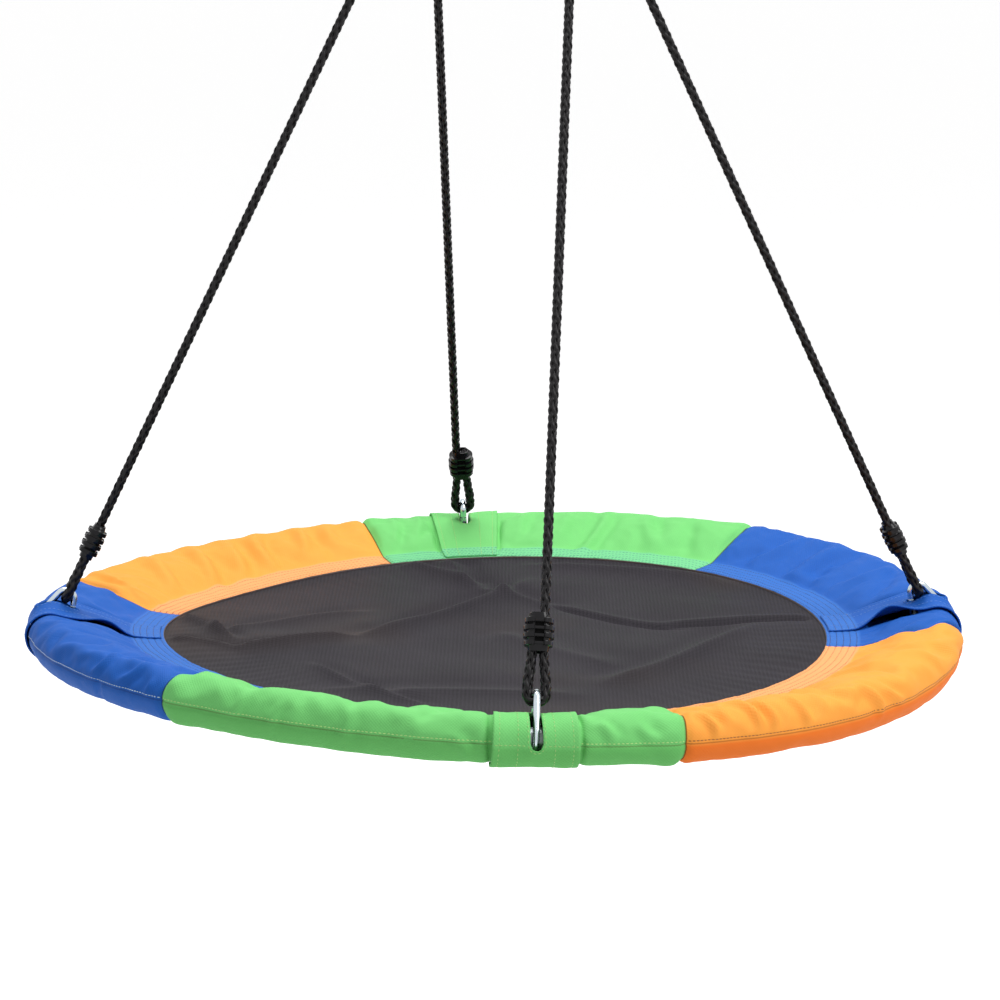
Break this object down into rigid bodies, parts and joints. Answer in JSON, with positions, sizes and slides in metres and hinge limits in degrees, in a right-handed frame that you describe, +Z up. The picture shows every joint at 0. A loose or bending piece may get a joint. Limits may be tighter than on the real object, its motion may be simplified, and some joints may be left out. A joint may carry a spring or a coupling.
{
  "type": "saucer nest swing",
  "caption": "Round padded nest swing: steel ring in a sewn sleeve with a mesh seat, hung by braided ropes from hanging rings through snap hooks and moulded clamps.",
  "frame": {"origin": "midway between the two places where hooks bear inside the hanging rings", "axes": "+Z up, +X from one hanging ring to the other, +Y the way the seat swings"},
  "size_m": [1.0158, 1.0158, 0.9947],
  "materials": {
    "tube_steel": "galvanised tube",
    "screw_steel": "zinc plated",
    "spring_steel": "bright spring steel",
    "zinc_steel": "bright zinc plate with a blue tint",
    "foam": "black closed-cell foam",
    "oxford_green": "coated Oxford weave",
    "oxford_orange": "coated Oxford weave",
    "oxford_blue": "coated Oxford weave",
    "mesh": "vinyl-coated textile mesh",
    "rope": "braided polyethylene",
    "clamp_plastic": "moulded, glossy"
  },
  "bodies": {
    "hangers": {"hanging_ring_1": "zinc_steel", "hanging_ring_2": "zinc_steel"},
    "swing": {"cover_panel_blue_1": "oxford_blue", "cover_panel_blue_2": "oxford_blue", "cover_panel_green_1": "oxford_green", "cover_panel_green_2": "oxford_green", "cover_panel_orange_1": "oxford_orange", "cover_panel_orange_2": "oxford_orange", "foam_sleeve_1": "foam", "foam_sleeve_2": "foam", "foam_sleeve_3": "foam", "foam_sleeve_4": "foam", "frame_screws": "screw_steel", "frame_tube_1": "tube_steel", "frame_tube_2": "tube_steel", "frame_tube_3": "tube_steel", "frame_tube_4": "tube_steel", "gate_pin_1": "spring_steel", "gate_pin_2": "spring_steel", "gate_pin_3": "spring_steel", "gate_pin_4": "spring_steel", "hanger_flap_1": "oxford_green", "hanger_flap_2": "oxford_blue", "hanger_flap_3": "oxford_green", "hanger_flap_4": "oxford_blue", "mesh_seat": "mesh", "rope_1": "rope", "rope_2": "rope", "rope_clamp_1": "clamp_plastic", "rope_clamp_2": "clamp_plastic", "rope_clamp_3": "clamp_plastic", "rope_clamp_4": "clamp_plastic", "snap_hook_1": "zinc_steel", "snap_hook_2": "zinc_steel", "snap_hook_3": "zinc_steel", "snap_hook_4": "zinc_steel", "upper_clamp_1": "clamp_plastic", "upper_clamp_2": "clamp_plastic"},
    "gate_1": {"hook_gate_1": "zinc_steel", "gate_spring_1": "spring_steel"},
    "gate_2": {"hook_gate_2": "zinc_steel", "gate_spring_2": "spring_steel"},
    "gate_3": {"hook_gate_3": "zinc_steel", "gate_spring_3": "spring_steel"},
    "gate_4": {"hook_gate_4": "zinc_steel", "gate_spring_4": "spring_steel"}
  },
  "joints": [
    {"name": "swing_pivot", "type": "hinge", "parent": "hangers", "child": "swing", "pos_m": [0, 0, -0.04233], "axis": [1, 0, 0], "range_deg": [-35, 35]},
    {"name": "gate_pivot_1", "type": "hinge", "parent": "swing", "child": "gate_1", "pos_m": [0.32475, -0.32183, -0.93519], "axis": [-0.7265, -0.6844, 0.0617], "range_deg": [0, 8], "stiffness_Nm_per_rad": 0.04, "springref_deg": -34.38},
    {"name": "gate_pivot_2", "type": "hinge", "parent": "swing", "child": "gate_2", "pos_m": [0.32475, 0.32183, -0.93519], "axis": [0.7265, -0.6844, -0.0617], "range_deg": [0, 8], "stiffness_Nm_per_rad": 0.04, "springref_deg": -34.38},
    {"name": "gate_pivot_3", "type": "hinge", "parent": "swing", "child": "gate_3", "pos_m": [-0.32475, 0.32183, -0.93519], "axis": [0.7265, 0.6844, 0.0617], "range_deg": [0, 8], "stiffness_Nm_per_rad": 0.04, "springref_deg": -34.38},
    {"name": "gate_pivot_4", "type": "hinge", "parent": "swing", "child": "gate_4", "pos_m": [-0.32475, -0.32183, -0.93519], "axis": [-0.7265, 0.6844, -0.0617], "range_deg": [0, 8], "stiffness_Nm_per_rad": 0.04, "springref_deg": -34.38}
  ]
}
